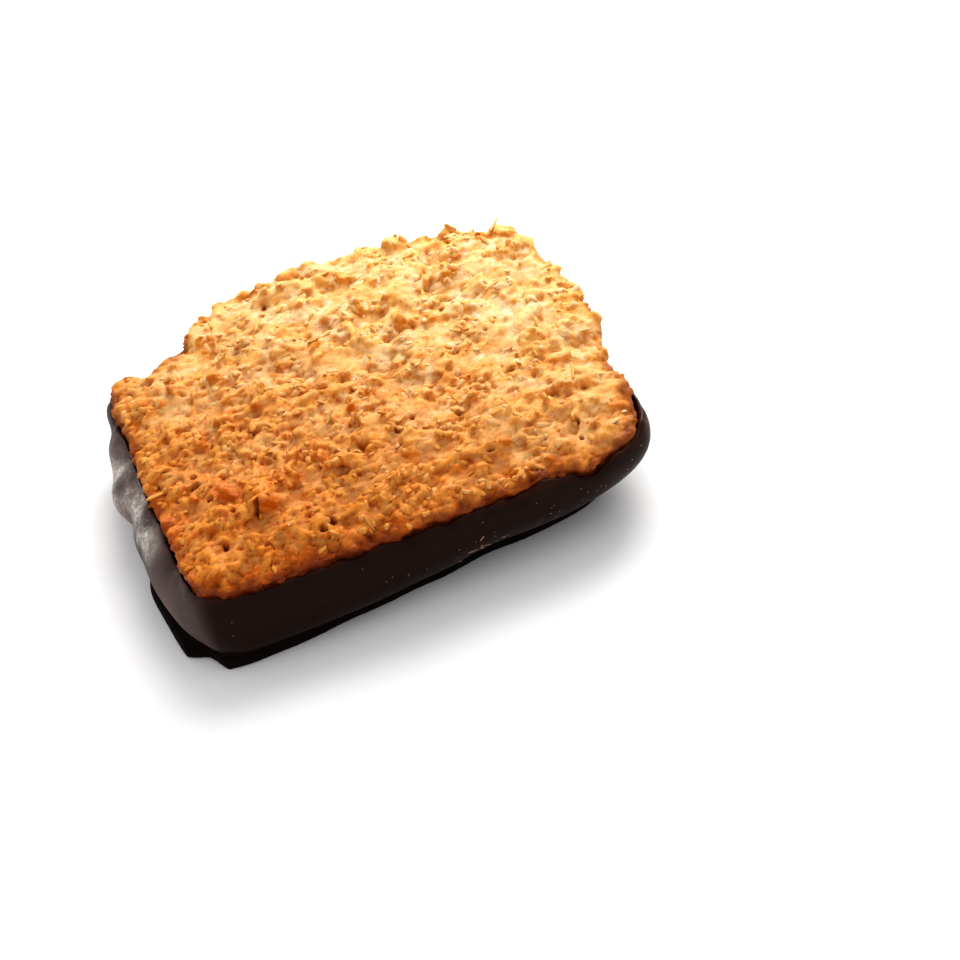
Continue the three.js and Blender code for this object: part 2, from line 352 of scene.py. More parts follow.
def strip_shapes(how_many=6):
    """Thin strips of unit length and width with a little thickness, as arrays."""
    shapes = []
    for number in range(how_many):
        bm = bmesh.new()
        bmesh.ops.create_grid(bm, x_segments=7, y_segments=2, size=0.5)
        for vert in bm.verts:
            taper = 1 - 0.55 * (2 * vert.co.x) ** 4
            side = 0.22 * noise.noise(Vector((vert.co.x * 3, number * 5.1, 0)))
            vert.co.y = vert.co.y * taper + side
        bmesh.ops.solidify(bm, geom=bm.faces, thickness=1.0)
        low = min(vert.co.z for vert in bm.verts)
        for vert in bm.verts:
            vert.co.z -= low + 0.5
        bmesh.ops.recalc_face_normals(bm, faces=bm.faces)
        shapes.append(shape_arrays(bm))
        bm.free()
    return shapes


def face_samples(corners, faces, weight, count, draw):
    """Places spread over triangles by area and weight, with the normal at each."""
    a, b, c = (corners[faces[:, side]] for side in range(3))
    cross = np.cross(b - a, c - a)
    area = np.linalg.norm(cross, axis=1)
    normal = cross / np.maximum(area, 1e-18)[:, None]
    chance = area * weight(a / 3 + b / 3 + c / 3, normal)
    picked = draw.choice(len(faces), count, p=chance / chance.sum())
    u, v = draw.random(count), draw.random(count)
    over = u + v > 1
    u[over], v[over] = 1 - u[over], 1 - v[over]
    places = a[picked] + (b - a)[picked] * u[:, None] + (c - a)[picked] * v[:, None]
    return places, normal[picked]


def unit(vectors):
    return vectors / np.maximum(np.linalg.norm(vectors, axis=1, keepdims=True), 1e-12)


def scattered(shapes, places, normals, kind, draw):
    """Copies of the shapes laid at the places. Returns corners, faces, each corner's owner and
    how high in it each corner is, from about -0.5 to 0.5."""
    count = len(places)
    sizes = [draw.uniform(low, high, count) * MM
             for low, high in (kind.long, kind.wide, kind.thick)]
    up = unit(normals + kind.tilt * draw.normal(size=(count, 3)))
    turn = draw.normal(size=(count, 3)) + np.array([0, 1, 0]) * kind.aligned
    along = unit(np.cross(up, turn))
    across = np.cross(up, along)
    bend = draw.uniform(-1, 1, count) * kind.curl
    which = draw.integers(0, len(shapes), count)
    all_corners, all_faces, owners, rises, start = [], [], [], [], 0
    for number in range(count):
        corners, faces = shapes[which[number]]
        x, y, z = corners.T
        local = np.stack([
            x * sizes[0][number],
            y * sizes[1][number],
            z * sizes[2][number] + bend[number] * sizes[0][number] * (x * x - 0.08),
        ], axis=1)
        axes = np.stack([along[number], across[number], up[number]])
        centre = places[number] + up[number] * kind.lift * MM
        all_corners.append(centre + local @ axes)
        all_faces.append(faces + start)
        owners.append(np.full(len(corners), number))
        rises.append(z)
        start += len(corners)
    return [np.concatenate(part) for part in (all_corners, all_faces, owners, rises)]


# ---------------------------------------------------------------- material helpers


def group_of(name, inputs, outputs):
    """A new shader node group with the named sockets, given as name: (kind, default)."""
    group = bpy.data.node_groups.new(name, "ShaderNodeTree")
    for side, sockets in (("INPUT", inputs), ("OUTPUT", outputs)):
        for title, (kind, default) in sockets.items():
            socket = group.interface.new_socket(
                name=title, in_out=side, socket_type="NodeSocket" + kind)
            if default is not None:
                socket.default_value = default
    return group, group.nodes.new("NodeGroupInput"), group.nodes.new("NodeGroupOutput")


def add(tree, kind, links=None, **values):
    """A new node; links are socket: source, and values set its own properties."""
    node = tree.nodes.new(kind)
    for key, value in values.items():
        setattr(node, key, value)
    for socket, source in (links or {}).items():
        if isinstance(source, bpy.types.NodeSocket):
            tree.links.new(source, node.inputs[socket])
        else:
            node.inputs[socket].default_value = source
    return node


def maths(tree, operation, *sources, clamp=False):
    return add(tree, "ShaderNodeMath", dict(enumerate(sources)),
               operation=operation, use_clamp=clamp).outputs[0]


def mixed(tree, factor, first, second, blend="MIX"):
    node = add(tree, "ShaderNodeMix", data_type="RGBA", blend_type=blend)
    for socket, source in (("Factor_Float", factor), ("A_Color", first), ("B_Color", second)):
        target = next(s for s in node.inputs if s.identifier == socket)
        if isinstance(source, bpy.types.NodeSocket):
            tree.links.new(source, target)
        elif socket == "Factor_Float":
            target.default_value = source
        else:
            target.default_value = (*source, 1.0)
    return next(s for s in node.outputs if s.identifier == "Result_Color")


def ranged(tree, source, low, high, start=0.0, end=1.0):
    links = {"Value": source, "From Min": low, "From Max": high, "To Min": start, "To Max": end}
    return add(tree, "ShaderNodeMapRange", links, clamp=True,
               interpolation_type="SMOOTHSTEP").outputs["Result"]


def attribute(tree, name):
    return add(tree, "ShaderNodeAttribute", attribute_name=name).outputs["Fac"]


def noise_node(tree, position, size, detail=3.0, roughness=0.55, stretch=0.0):
    """Noise with features of the given size in metres."""
    links = {"Vector": position, "Scale": 1.0 / size, "Detail": detail,
             "Roughness": roughness, "Distortion": stretch}
    return add(tree, "ShaderNodeTexNoise", links).outputs["Fac"]


def fine_grain_group():
    """Fine mottling and bump that every baked surface shares."""
    group, given, result = group_of(
        "fine_grain",
        {"Position": ("Vector", None), "Size": ("Float", 0.4 * MM), "Contrast": ("Float", 0.3)},
        {"Shade": ("Float", None), "Height": ("Float", None)},
    )
    scale = maths(group, "DIVIDE", 1.0, given.outputs["Size"])
    coarse = add(group, "ShaderNodeTexNoise",
                 {"Vector": given.outputs["Position"], "Scale": scale, "Detail": 3.0})
    double = maths(group, "MULTIPLY", scale, 2.7)
    fine = add(group, "ShaderNodeTexNoise",
               {"Vector": given.outputs["Position"], "Scale": double, "Detail": 2.0})
    both = maths(group, "ADD", maths(group, "MULTIPLY", coarse.outputs["Fac"], 0.6),
                 maths(group, "MULTIPLY", fine.outputs["Fac"], 0.4))
    swing = maths(group, "MULTIPLY", maths(group, "SUBTRACT", both, 0.5),
                  maths(group, "MULTIPLY", given.outputs["Contrast"], 2.0))
    group.links.new(maths(group, "ADD", swing, 1.0), result.inputs["Shade"])
    group.links.new(both, result.inputs["Height"])
    return group


def fresh_material(name):
    material = bpy.data.materials.new(name)
    material.use_nodes = True
    tree = material.node_tree
    tree.nodes.clear()
    shader = tree.nodes.new("ShaderNodeBsdfPrincipled")
    output = tree.nodes.new("ShaderNodeOutputMaterial")
    tree.links.new(shader.outputs["BSDF"], output.inputs["Surface"])
    return material, tree, shader


def object_position(tree):
    return tree.nodes.new("ShaderNodeTexCoord").outputs["Object"]


def bumped(tree, shader, height, distance, strength=1.0):
    bump = add(tree, "ShaderNodeBump", {"Height": height, "Distance": distance,
                                        "Strength": strength})
    tree.links.new(bump.outputs["Normal"], shader.inputs["Normal"])


def shaded(tree, tint, shade):
    """A colour multiplied by a grey value."""
    grey = add(tree, "ShaderNodeCombineColor", {"Red": shade, "Green": shade, "Blue": shade})
    return mixed(tree, 1.0, tint, grey.outputs["Color"], "MULTIPLY")


def baked(tree, tint, most):
    """A colour multiplied by a tint on the side away from the key light: painted shade."""
    brown = mixed(tree, attribute(tree, "key_shade_side"), (1.0, 1.0, 1.0), most)
    return mixed(tree, 1.0, tint, brown, "MULTIPLY")


# ---------------------------------------------------------------- materials


def crumb_material(colours, fine_grain):
    material, tree, shader = fresh_material("baked_coconut_crumb")
    position = object_position(tree)
    grain = add(tree, "ShaderNodeGroup", node_tree=fine_grain)
    tree.links.new(position, grain.inputs["Position"])
    grain.inputs["Size"].default_value = 0.34 * MM
    grain.inputs["Contrast"].default_value = 0.4
    flake = mixed(tree, attribute(tree, "tone"), colours.flake, colours.pale)
    paste = mixed(tree, attribute(tree, "tone"), colours.paste, colours.cream)
    # Painted shade on the side away from the key light.
    flake = baked(tree, flake, colours.flake_shade_tint)
    paste = baked(tree, paste, colours.paste_shade_tint)
    tint = mixed(tree, attribute(tree, "flake"), paste, flake)
    # Toast colour: real toasted spots and stain, and painted shade in creases and on steep sides.
    tint = mixed(tree, attribute(tree, "toast_and_shade"), tint, baked(tree, colours.toast_and_shade, colours.flake_shade_tint))
    # Painted shade in creases and pits, and the real stain beside the coat.
    tint = mixed(tree, attribute(tree, "stain_and_shade"), tint, colours.stain_and_shade)
    tint = shaded(tree, tint, grain.outputs["Shade"])
    tree.links.new(tint, shader.inputs["Base Color"])
    dull = ranged(tree, attribute(tree, "flake"), 0.0, 1.0, 0.82, 0.52)
    tree.links.new(dull, shader.inputs["Roughness"])
    shader.inputs["Specular IOR Level"].default_value = 0.3
    shader.inputs["Subsurface Weight"].default_value = 0.25
    shader.inputs["Subsurface Radius"].default_value = (1.0, 0.35, 0.10)
    shader.inputs["Subsurface Scale"].default_value = 0.4 * MM
    fade = ranged(tree, attribute(tree, "flake"), 0.0, 1.0, 1.0, 0.35)
    bumped(tree, shader, maths(tree, "MULTIPLY", grain.outputs["Height"], fade), 0.16 * MM)
    return material


def chocolate_material(colours, fine_grain):
    material, tree, shader = fresh_material("dark_chocolate")
    position = object_position(tree)
    grain = add(tree, "ShaderNodeGroup", node_tree=fine_grain)
    tree.links.new(position, grain.inputs["Position"])
    grain.inputs["Size"].default_value = 1.6 * MM
    grain.inputs["Contrast"].default_value = 0.25
    tint = mixed(tree, attribute(tree, "thin"), colours.dark, colours.warm)
    # Grey film on the left wall: partly real bloom, partly painted sheen.
    tint = mixed(tree, attribute(tree, "film_and_sheen"), tint, colours.film_and_sheen)
    # Painted shade on the foot.
    tint = mixed(tree, attribute(tree, "foot"), tint, colours.shade)
    tint = shaded(tree, tint, grain.outputs["Shade"])
    fine = ranged(tree, noise_node(tree, position, 0.5 * MM, 5.0, 0.7), 0.42, 0.62, 0.45, 1.0)
    dust = maths(tree, "MULTIPLY", attribute(tree, "dust"), fine)
    tint = mixed(tree, dust, tint, colours.bloom)
    tree.links.new(tint, shader.inputs["Base Color"])
    dull = maths(tree, "ADD", maths(tree, "MULTIPLY", attribute(tree, "film_and_sheen"), 0.2),
                 maths(tree, "MULTIPLY", attribute(tree, "foot"), 0.4))
    gloss = maths(tree, "ADD", dull, ranged(tree, grain.outputs["Height"], 0.35, 0.65,
                                            colours.roughness - 0.05, colours.roughness + 0.07))
    tree.links.new(gloss, shader.inputs["Roughness"])
    shader.inputs["Specular IOR Level"].default_value = 0.15
    bumped(tree, shader, grain.outputs["Height"], 0.035 * MM)
    return material


def shred_material(colours, fine_grain):
    material, tree, shader = fresh_material("toasted_coconut_shred")
    position = object_position(tree)
    grain = add(tree, "ShaderNodeGroup", node_tree=fine_grain)
    tree.links.new(position, grain.inputs["Position"])
    grain.inputs["Size"].default_value = 0.35 * MM
    grain.inputs["Contrast"].default_value = 0.25
    tint = mixed(tree, attribute(tree, "tone"), colours.flake, colours.pale)
    # The toast colour here is real toasting and the painted shade of the skirts.
    tint = mixed(tree, attribute(tree, "toast_and_shade"), tint, colours.toast_and_shade)
    tint = baked(tree, tint, colours.flake_shade_tint)
    tint = shaded(tree, tint, grain.outputs["Shade"])
    tree.links.new(tint, shader.inputs["Base Color"])
    shader.inputs["Roughness"].default_value = 0.6
    shader.inputs["Specular IOR Level"].default_value = 0.35
    bumped(tree, shader, grain.outputs["Height"], 0.08 * MM)
    return material


def sugar_material(colours):
    material, tree, shader = fresh_material("sugar_grain")
    frost = noise_node(tree, object_position(tree), 0.3 * MM)
    tree.links.new(mixed(tree, frost, colours.sugar_dull, colours.sugar_bright),
                   shader.inputs["Base Color"])
    shader.inputs["Roughness"].default_value = 0.12
    shader.inputs["Specular IOR Level"].default_value = 0.6
    return material


def speck_material(colours):
    material, tree, shader = fresh_material("crumb_speck")
    frost = noise_node(tree, object_position(tree), 0.3 * MM)
    tree.links.new(mixed(tree, frost, colours.speck_dark, colours.speck_pale),
                   shader.inputs["Base Color"])
    shader.inputs["Roughness"].default_value = 0.8
    return material


def floor_material(tint):
    material, _, shader = fresh_material("pale_floor")
    shader.inputs["Base Color"].default_value = (*tint, 1.0)
    shader.inputs["Roughness"].default_value = 0.9
    shader.inputs["Specular IOR Level"].default_value = 0.1
    return material


# ---------------------------------------------------------------- crumb


def crumb_kinds(sizes):
    """Clods, flakes and grains, largest first."""
    return [
        Kind(sizes.clods, (2.2, 4.6), (1.3, 2.4), (0.8, 1.2), 0.12, -0.16, 0.10, 0.3, 1.2),
        Kind(sizes.flakes, (1.0, 2.3), (0.6, 1.15), (0.40, 0.66), 0.22, -0.02, 0.18, 0.30, 0.5),
        Kind(sizes.grains, (0.42, 0.95), (0.40, 0.75), (0.34, 0.56), 0.50, -0.02, 0.0, 0.35),
    ]


def clump_field(places):
    """From 0 in the smooth hollows to 1 on the ridges, which run along the biscuit."""
    drawn = places * (0.55, 1.0, 0.8)
    return eased(noise_at(drawn, 2.6 * MM, 12) + 0.5 * noise_at(drawn, 1.2 * MM, 13), -0.35, 0.65)


def clumped(floor, coat_tree, clear):
    """Weight of the open surface clear of the coat, with more on the ridges."""
    def weight(places, normals):
        gaps = np.array([coat_tree.find_nearest(Vector(place))[3] for place in places])
        return open_face(places, normals) * (floor + clump_field(places)) * (gaps > clear)
    return weight


def open_face(places, normals):
    """Weight of the crumb's open surface: its top, and its rim above the coat."""
    return (places[:, 2] > OPEN_ABOVE * MM) * (0.3 + 0.7 * eased(normals[:, 2], 0.1, 0.8))


def fused_crumb(sizes, coat_tree):
    """The crumb's solid with clods, flakes and grains fused on. Returns the mesh, the solid's
    tree, the flakes' tree and the tone of each of their faces."""
    draw = np.random.default_rng(11)
    bm = merged_copy("coconut_biscuit")
    corners, faces = shape_arrays(bm)
    bm.free()
    parts = [(corners, faces)]
    pieces, tones = [], []
    rounds, floors = (2, 2, 1), (0.15, 0.35, 0.6)
    for kind, level, floor in zip(crumb_kinds(sizes), rounds, floors):
        weight = clumped(floor, coat_tree, kind.thick[1] * MM)
        places, normals = face_samples(corners, faces, weight, kind.count, draw)
        made, made_faces, owners, _ = scattered(
            blob_shapes(level, kind.wobble, square=0.75), places, normals, kind, draw)
        pieces.append((made, made_faces))
        tones.append(draw.random(kind.count)[owners[made_faces[:, 0]]])
    parts += pieces
    mesh = mesh_from_arrays("crumb", *stacked(parts))
    mesh = evaluated_mesh(mesh, "REMESH", mode="VOXEL", voxel_size=sizes.grain)
    tree = BVHTree.FromPolygons(pieces[1][0].tolist(), pieces[1][1].tolist())
    solid_tree = BVHTree.FromPolygons(corners.tolist(), faces.tolist())
    return mesh, solid_tree, tree, tones[1]


def stacked(parts):
    """Several corner and face arrays as one."""
    starts = np.cumsum([0] + [len(corners) for corners, _ in parts[:-1]])
    return (np.concatenate([corners for corners, _ in parts]),
            np.concatenate([faces + start for (_, faces), start in zip(parts, starts)]))


def keep_largest_shell(bm):
    """Deletes every shell but the largest."""
    seen, shells = set(), []
    for first in bm.verts:
        if first in seen:
            continue
        shell, front = [first], [first]
        seen.add(first)
        while front:
            vert = front.pop()
            for edge in vert.link_edges:
                other = edge.other_vert(vert)
                if other not in seen:
                    seen.add(other)
                    shell.append(other)
                    front.append(other)
        shells.append(shell)
    shells.sort(key=len, reverse=True)
    scraps = [vert for shell in shells[1:] for vert in shell]
    bmesh.ops.delete(bm, geom=scraps, context="VERTS")


def plain_below(mesh, height, solid_tree):
    """Drops loose scraps, and swaps the part that the coat hides for a plain closed one."""
    bm = bmesh.new()
    bm.from_mesh(mesh)
    keep_largest_shell(bm)
    everything = bm.verts[:] + bm.edges[:] + bm.faces[:]
    bmesh.ops.bisect_plane(bm, geom=everything, dist=0.001 * MM, plane_co=(0, 0, height),
                           plane_no=(0, 0, 1), clear_inner=True)
    for level in (0.75, 0.5, 0.25, 0.04):
        rim = [edge for edge in bm.edges if edge.is_boundary]
        made = bmesh.ops.extrude_edge_only(bm, edges=rim)["geom"]
        low = CRUMB_FLOOR * MM + (height - CRUMB_FLOOR * MM) * level
        for vert in (item for item in made if isinstance(item, bmesh.types.BMVert)):
            outward = Vector((vert.co.x, vert.co.y, 0)).normalized()
            hit = solid_tree.ray_cast(Vector((0, 0, low)), outward)[0]
            vert.co = Vector((hit.x, hit.y, low))
    bmesh.ops.holes_fill(bm, edges=[edge for edge in bm.edges if edge.is_boundary], sides=0)
    bmesh.ops.recalc_face_normals(bm, faces=bm.faces)
    bmesh.ops.triangulate(bm, faces=[face for face in bm.faces if len(face.verts) > 4])
    bm.to_mesh(mesh)
    bm.free()


def press_pits(points, sizes, draw):
    """Presses small pits into the surface. Returns the points and how deep each is in a pit."""
    low, high = points.min(0), points.max(0)
    depth = np.zeros(len(points))
    stir = np.stack([noise_at(points, 0.6 * MM, 40), noise_at(points, 0.6 * MM, 41)], axis=1)
    centres = low[:2] + (high - low)[:2] * (0.06 + 0.88 * draw.random((sizes.pits, 2)))
    marked = np.array(OPEN_PITS) * MM
    for number, centre in enumerate(np.concatenate([marked, centres])):
        size = draw.uniform(0.8, 1.1) if number < len(marked) else draw.uniform(0.35, 0.75)
        radius = sizes.pit_radius * size
        away = (points[:, :2] - centre + stir * 0.14 * MM) * draw.uniform(0.7, 1.3, 2)
        near = np.clip(1 - (away ** 2).sum(1) / radius ** 2, 0, 1) * (points[:, 2] > PITTED_ABOVE * MM)
        depth = np.maximum(depth, near ** 0.6 * size)
    points[:, 2] -= depth * sizes.pit_depth
    return points, depth


def held_in(points, stain, shown, solid_tree, limit):
    """Points drawn back to within a limit of the solid where its side is steep, and closer still
    beside the coat."""
    points = points.copy()
    beside = 1 - eased(stain, 0.6 * MM, 1.8 * MM)
    limits = limit * (1 - 0.5 * beside)
    for index in np.flatnonzero(shown > 0):
        nearest, normal, _, _ = solid_tree.find_nearest(Vector(points[index]))
        beyond = (Vector(points[index]) - nearest).dot(normal) - limits[index]
        if beyond > 0:
            steep = float(eased(-normal.z, -0.75, -0.45))
            points[index] -= np.array(normal) * beyond * max(steep, beside[index])
    return points


def crumb_mesh(sizes, coat_tree):
    mesh, solid_tree, flake_tree, flake_tones = fused_crumb(sizes, coat_tree)
    plain_below(mesh, sizes.hidden_below, solid_tree)
    draw = np.random.default_rng(5)
    points, edges = read_points(mesh), read_edges(mesh)
    shown = eased(points[:, 2], sizes.hidden_below, sizes.hidden_below + 0.3 * MM)
    tones, off_flake, stain = (np.zeros(len(points)) for _ in range(3))
    for index in np.flatnonzero(shown > 0):
        place = Vector(points[index])
        _, _, face, off_flake[index] = flake_tree.find_nearest(place)
        tones[index] = flake_tones[face]
        stain[index] = coat_tree.find_nearest(place)[3]
    flake = (1 - eased(off_flake, 0.06 * MM, 0.20 * MM)) * shown
    normals = unit(smoothed(read_normals(mesh), edges, 10))
    ridge = clump_field(points)
    drawn = points * DRAWN_OUT
    lump, lump_draw = domes_at(drawn, sizes.lump_size, 3)
    granule, granule_draw = domes_at(drawn, sizes.granule_size, 4)
    out = (ridge - 0.5) * sizes.ridge_height
    # Painted shade: the side away from the key light gets darker, more orange colours; it also
    # roughens the crumb there.
    shade_side = key_shade_side(points)
    rugged = 0.45 + 0.55 * eased(noise_at(drawn, 3.4 * MM, 18), -0.4, 0.4)
    rugged *= 0.68 + 0.5 * shade_side
    lumpy = (0.3 + 0.7 * ridge) * (0.66 + 0.46 * shade_side)
    out += (lump * (0.6 + 0.4 * lump_draw) - 0.45) * sizes.lump_height * lumpy
    out += (granule * (0.5 + 0.5 * granule_draw) - 0.4) * sizes.granule_height * rugged
    out -= (1 - eased(stain, 0.2 * MM, 1.0 * MM)) * 0.1 * MM
    points += normals * (out * shown)[:, None]
    points = held_in(points, stain, shown, solid_tree, sizes.stand_out)
    close, near, wide = (smoothed(points, edges, rounds) for rounds in (4, 18, 80))
    crease = ((close - points) * normals).sum(1) / MM
    stand = ((points - near) * normals).sum(1) / MM
    broad = ((points - wide) * normals).sum(1) / MM
    points, pit = press_pits(points, sizes, draw)
    write_points(mesh, points)
    steep = 1 - (read_normals(mesh) * unit(smoothed(normals, edges, 60))).sum(1)
    streak = noise_at(drawn, 2.8 * MM, 14) * 0.7 + noise_at(drawn, 1.2 * MM, 15) * 0.5
    patch = noise_at(drawn, 4.4 * MM, 16) * 0.7 + noise_at(drawn, 1.6 * MM, 17) * 0.5
    speck = noise_at(points, 1.1 * MM, 3)
    rim = 1 - eased(stain + 0.5 * MM * speck, 0.4 * MM, 3.4 * MM)
    # Painted shade: low parts, the joints between lumps and granules, and creases take the toast
    # colour.
    low = 1 - eased(stand + 0.5 * broad, -0.35, 0.2)
    joint = (1 - eased(lump, 0.1, 0.5)) * 0.4 + (1 - eased(granule, 0.1, 0.6)) * 0.6 * rugged
    toast_and_shade = low * 0.10 + joint * 0.52 + eased(crease, 0.02, 0.14) * 0.40
    raised = eased(stand + 0.4 * broad, -0.06, 0.20)
    # Steep sides take painted shade; the rim by the coat takes the real chocolate stain.
    toast_and_shade += eased(steep, 0.06, 0.45) * 0.5 + rim * 0.65
    toast_and_shade += eased(streak, 0.15, 0.7) * (0.15 + 0.6 * raised)
    toast_and_shade += eased(flake_spread(tones), 0.85, 0.97) * flake * 0.4
    # More painted shade on the side away from the key light.
    toast_and_shade *= 0.8 + 0.2 * shade_side
    # Painted shade in creases, hollows, between lumps on the shade side and in pits; the real
    # chocolate stain beside the coat.
    stain_and_shade = eased(crease, 0.07, 0.24) * 0.4 + eased(-stand - 0.5 * broad, 0.35, 0.9) * 0.3
    stain_and_shade += (1 - eased(granule, 0.05, 0.35)) * (1 - eased(lump, 0.15, 0.6)) * 0.3 * shade_side
    stain_and_shade += eased(pit, 0.15, 0.55) * 0.9
    stain_and_shade += (1 - eased(stain + 0.6 * MM * speck, 0.3 * MM, 2.0 * MM)) * 0.7
    stain_and_shade += rim * 0.2 * shade_side
    golden = eased(0.6 * lump_draw + 0.4 * granule_draw, 0.3, 0.6) * ridge * eased(granule, 0.2, 0.5)
    body = np.maximum(flake, golden * 0.85)
    loose_tone = eased(patch + 0.5 * (granule_draw - 0.5), -0.5, 0.6)
    tone = eased(0.6 * tones + 0.4 * loose_tone, 0.15, 0.85) * flake + loose_tone * (1 - flake)
    body = np.maximum(body, raised * 0.9)
    # Paleness is cut on raised lumps, and as painted shade on steep sides and on the side away from
    # the key light.
    tone *= (1 - 0.7 * raised) * (1 - 0.6 * eased(steep, 0.08, 0.4)) * (1 - 0.35 * shade_side)
    write_value(mesh, "flake", body)
    write_value(mesh, "tone", tone)
    write_value(mesh, "toast_and_shade", toast_and_shade)
    write_value(mesh, "stain_and_shade", stain_and_shade)
    write_value(mesh, "key_shade_side", shade_side)
    return mesh


def key_shade_side(points):
    """From 0 on the side of the biscuit that faces the key light to 1 on the side away from it, where
    the colours get painted shade.
    """
    slant = points[:, 0] * 0.6 + points[:, 1] * 0.8 + noise_at(points, 5 * MM, 2) * 2 * MM
    return 1 - eased(slant, -26 * MM, 22 * MM)


def flake_spread(tones):
    """A second even value for each flake, drawn from its tone."""
    return (tones * 7.31) % 1.0


# ---------------------------------------------------------------- coat


def crease_foot(bm):
    """Keeps the edges of the thin foot crisp when the coat is rounded."""
    layer = bm.edges.layers.float.new("crease_edge")
    for edge in bm.edges:
        low = max(vert.co.z for vert in edge.verts) < 1.3 * MM
        if low and edge.calc_face_angle(0) > math.radians(25):
            edge[layer] = 0.8


def drawn_to_tips(points, pull):
    """Draws the foot out to its two tips."""
    low = 1 - eased(points[:, 2], 1.1 * MM, 1.9 * MM)
    for tip in FOOT_TIPS:
        away = np.array(tip) * MM - points[:, :2]
        near = np.clip(1 - np.linalg.norm(away, axis=1) / (3.2 * MM), 0, 1) ** 1.5
        points[:, :2] += away * (near * low * pull)[:, None]
    return points


def wall_lumps(points):
    """How far the lumps and pockets of the left wall stand out at each point."""
    out = np.zeros(len(points))
    for along, height, reach, amount in WALL_LUMPS:
        away = (points[:, 1:] / MM - (along, height)) / reach
        out += amount * MM * np.exp(-(away ** 2).sum(1))
    return out


def coat_mesh(sizes):
    """The coat's solid with its lip tucked in, rounded and made uneven."""
    bm = merged_copy("chocolate_coat")
    bmesh.ops.join_triangles(bm, faces=bm.faces, angle_face_threshold=math.pi,
                             angle_shape_threshold=math.pi)
    high = max(vert.co.z for vert in bm.verts)
    for vert in bm.verts:
        inward = -Vector((vert.co.x, vert.co.y, 0)).normalized()
        tuck = eased(vert.co.z, high - 1.7 * MM, high - 0.6 * MM)
        vert.co += inward * sizes.lip_tuck * float(tuck)
    crease_foot(bm)
    mesh = bpy.data.meshes.new("coat")
    bm.to_mesh(mesh)
    bm.free()
    mesh = evaluated_mesh(mesh, "SUBSURF", levels=2, render_levels=2)
    points, normals = drawn_to_tips(read_points(mesh), sizes.foot_pull), read_normals(mesh)
    height = points[:, 2]
    wall = eased(height, 1.2 * MM, 2.4 * MM)
    swell = noise_at(points, 9 * MM, 4) * sizes.swell * wall
    left = eased(-points[:, 0], 22 * MM, 25.5 * MM) * wall
    lumps = noise_at(points, 3.2 * MM, 5, 1) * sizes.lump * eased(points[:, 1], -14 * MM, -2 * MM)
    outward = eased(-normals[:, 0], 0, 0.5)
    points += normals * (swell + (lumps + wall_lumps(points)) * left * outward)[:, None]
    lip = eased(height, 8.0 * MM, 9.0 * MM)
    waves = noise_at(points, 2.2 * MM, 6, 2) + 0.5 * noise_at(points, 0.9 * MM, 9)
    points[:, 2] += waves * sizes.lip_wave * lip
    points[:, 2] = np.maximum(points[:, 2], 0)
    write_points(mesh, points)
    along, up = points[:, 1] / MM, points[:, 2] / MM
    ridge = np.exp(-((up - 7.7) / 1.1) ** 2) * eased(-along, -3, 0) * eased(along, -11.5, -8.5)
    crown = np.exp(-((up - 5.6) / 2.2) ** 2 - ((along - 6.0) / 3.4) ** 2)
    ragged = 0.75 + 0.5 * noise_at(points, 1.6 * MM, 7)
    write_value(mesh, "dust", (ridge * 1.1 + crown * 1.8) * left * ragged)
    film = 0.55 + 0.45 * noise_at(points, 6 * MM, 8)
    # Partly real bloom, partly painted sheen on the left wall.
    write_value(mesh, "film_and_sheen", film * eased(-points[:, 0], 23.4 * MM, 26.5 * MM) * wall)
    # Painted shade on the low foot.
    write_value(mesh, "foot", 1 - eased(height, 1.5 * MM, 2.6 * MM))
    write_value(mesh, "thin", eased(height, 8.7 * MM, 9.5 * MM) * 0.8)
    return mesh


# ---------------------------------------------------------------- small loose things


def loose_piece(name, shapes, kind, surface, weight, seed, material, slot, skirt=0.0):
    """One piece of many small things lying on a surface. A skirt darkens their lower parts with
    painted shade.
    """
    draw = np.random.default_rng(seed)
    corners, faces = surface
    places, normals = face_samples(corners, faces, weight, kind.count, draw)
    made, made_faces, owners, rises = scattered(shapes, places, normals, kind, draw)
    mesh = mesh_from_arrays(name, made, made_faces)
    tones, spread = draw.random(kind.count), draw.random(kind.count)
    drawn = places * DRAWN_OUT
    patch = noise_at(drawn, 3.6 * MM, 31) * 0.7 + noise_at(drawn, 1.6 * MM, 17) * 0.4
    streak = noise_at(drawn, 2.8 * MM, 14) * 0.7 + noise_at(drawn, 1.2 * MM, 15) * 0.5
    tone = eased(tones + 0.6 * patch, 0.1, 1.1) * 0.65
    toast_and_shade = eased(spread + 0.6 * streak, 0.75, 1.35) * 0.85
    # Painted shade on the lower part of each thing, where it meets the surface.
    low = 1 - eased(rises, -0.25, 0.3)
    write_value(mesh, "tone", tone[owners])
    # Painted shade on the side away from the key light.
    shade_side = key_shade_side(places)[owners]
    write_value(mesh, "toast_and_shade", (toast_and_shade[owners] + low * skirt) * (0.8 + 0.2 * shade_side))
    write_value(mesh, "key_shade_side", shade_side)
    return new_piece(name, mesh, material, slot)


def piece_surface(name):
    """Corners and triangles of a piece made earlier."""
    bm = bmesh.new()
    bm.from_mesh(bpy.data.objects[name].data)
    arrays = shape_arrays(bm)
    bm.free()
    return arrays


def piece_tree(name):
    corners, faces = piece_surface(name)
    return BVHTree.FromPolygons(corners.tolist(), faces.tolist())


def front_wall(places, normals):
    """Weight of the coat's front wall, more to the right."""
    facing = np.clip(-normals[:, 1], 0, 1) ** 2 * (places[:, 1] < 0)
    band = eased(places[:, 2], 1.5 * MM, 3 * MM) * (places[:, 2] < 8.8 * MM)
    return facing * band * (0.15 + eased(places[:, 0], -12 * MM, 14 * MM))


